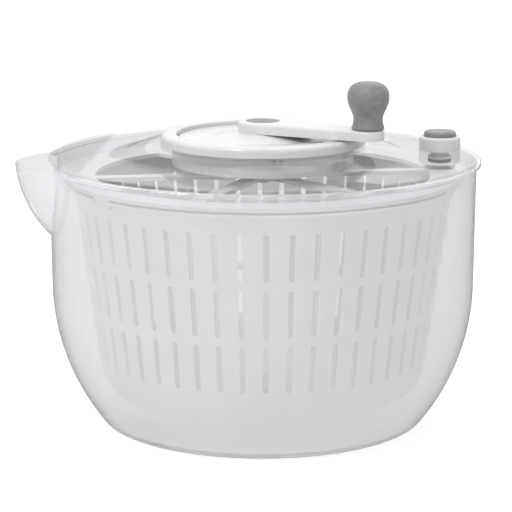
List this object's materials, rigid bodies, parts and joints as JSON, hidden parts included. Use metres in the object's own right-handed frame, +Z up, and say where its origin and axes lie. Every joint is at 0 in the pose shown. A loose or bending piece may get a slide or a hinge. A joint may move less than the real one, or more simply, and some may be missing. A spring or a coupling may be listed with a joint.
{
  "type": "salad spinner",
  "caption": "Hand-cranked salad spinner: frosted bowl with a pouring spout, slotted basket, and a clear lid with crank, knob and brake button.",
  "frame": {"origin": "centre of the bowl's flat base, on the basket's axis", "axes": "+Z up along the basket's axis, -X towards the pouring spout, +X towards the brake button"},
  "size_m": [0.2772, 0.26, 0.2084],
  "materials": {
    "frosted_bowl": "frosted, translucent, satin outside",
    "basket_plastic": "satin",
    "clear_lid": "clear, polished",
    "white_housing": "semi-gloss",
    "white_crank": "semi-gloss",
    "grey_trim": "satin",
    "grey_knob": "fine matt",
    "driver_plastic": "satin",
    "gear_plastic": "natural acetal",
    "pad_rubber": "matt",
    "steel": "turned"
  },
  "bodies": {
    "bowl": {"bowl": "frosted_bowl", "pivot_pin": "steel"},
    "basket": {"basket": "basket_plastic", "bearing_cup": "gear_plastic"},
    "lid": {"lid_shell": "clear_lid", "gear_well": "white_housing", "well_screws": "steel", "sun_bush": "gear_plastic", "idler_pins": "steel", "idler_clips": "steel", "brake_guide": "white_housing", "brake_spring": "steel"},
    "crank": {"crank": "white_crank", "ring_gear": "gear_plastic", "ring_screws": "steel", "centre_axle": "steel", "axle_washer": "steel", "axle_clip": "steel", "crank_cap": "grey_trim", "knob_pin": "steel"},
    "knob": {"knob": "grey_knob", "knob_cap": "grey_trim"},
    "driver": {"drive_pinion": "gear_plastic", "basket_driver": "driver_plastic"},
    "idler_1": {"idler_gear_1": "gear_plastic"},
    "idler_2": {"idler_gear_2": "gear_plastic"},
    "idler_3": {"idler_gear_3": "gear_plastic"},
    "brake": {"brake_button": "grey_trim", "brake_shoe": "white_housing", "brake_pad": "pad_rubber"}
  },
  "joints": [
    {"name": "lid_lift", "type": "slide", "parent": "bowl", "child": "lid", "axis": [0, 0, 1], "range_m": [0, 0.2]},
    {"name": "basket_spin", "type": "hinge", "parent": "bowl", "child": "basket", "pos_m": [0, 0, 0.02], "axis": [0, 0, 1], "continuous": true},
    {"name": "crank_turn", "type": "hinge", "parent": "lid", "child": "crank", "pos_m": [0, 0, 0.168], "axis": [0, 0, 1], "continuous": true},
    {"name": "driver_spin", "type": "hinge", "parent": "lid", "child": "driver", "pos_m": [0, 0, 0.156], "axis": [0, 0, 1], "continuous": true},
    {"name": "idler_1_spin", "type": "hinge", "parent": "lid", "child": "idler_1", "pos_m": [0, 0.027, 0.16], "axis": [0, 0, 1], "continuous": true},
    {"name": "idler_2_spin", "type": "hinge", "parent": "lid", "child": "idler_2", "pos_m": [-0.02338, -0.0135, 0.16], "axis": [0, 0, 1], "continuous": true},
    {"name": "idler_3_spin", "type": "hinge", "parent": "lid", "child": "idler_3", "pos_m": [0.02338, -0.0135, 0.16], "axis": [0, 0, 1], "continuous": true},
    {"name": "knob_spin", "type": "hinge", "parent": "crank", "child": "knob", "pos_m": [0.05516, -0.0431, 0.182], "axis": [0, 0, 1], "continuous": true},
    {"name": "brake_press", "type": "slide", "parent": "lid", "child": "brake", "axis": [0, 0, -1], "range_m": [0, 0.004], "stiffness_N_per_m": 350, "springref_m": -0.003, "deforming": ["brake_spring"]}
  ],
  "couplings": [
    {"joint": "crank_turn", "follows": "basket_spin", "ratio": -0.26316},
    {"joint": "driver_spin", "follows": "basket_spin", "ratio": 1},
    {"joint": "idler_1_spin", "follows": "basket_spin", "ratio": -0.71429},
    {"joint": "idler_2_spin", "follows": "basket_spin", "ratio": -0.71429},
    {"joint": "idler_3_spin", "follows": "basket_spin", "ratio": -0.71429}
  ]
}
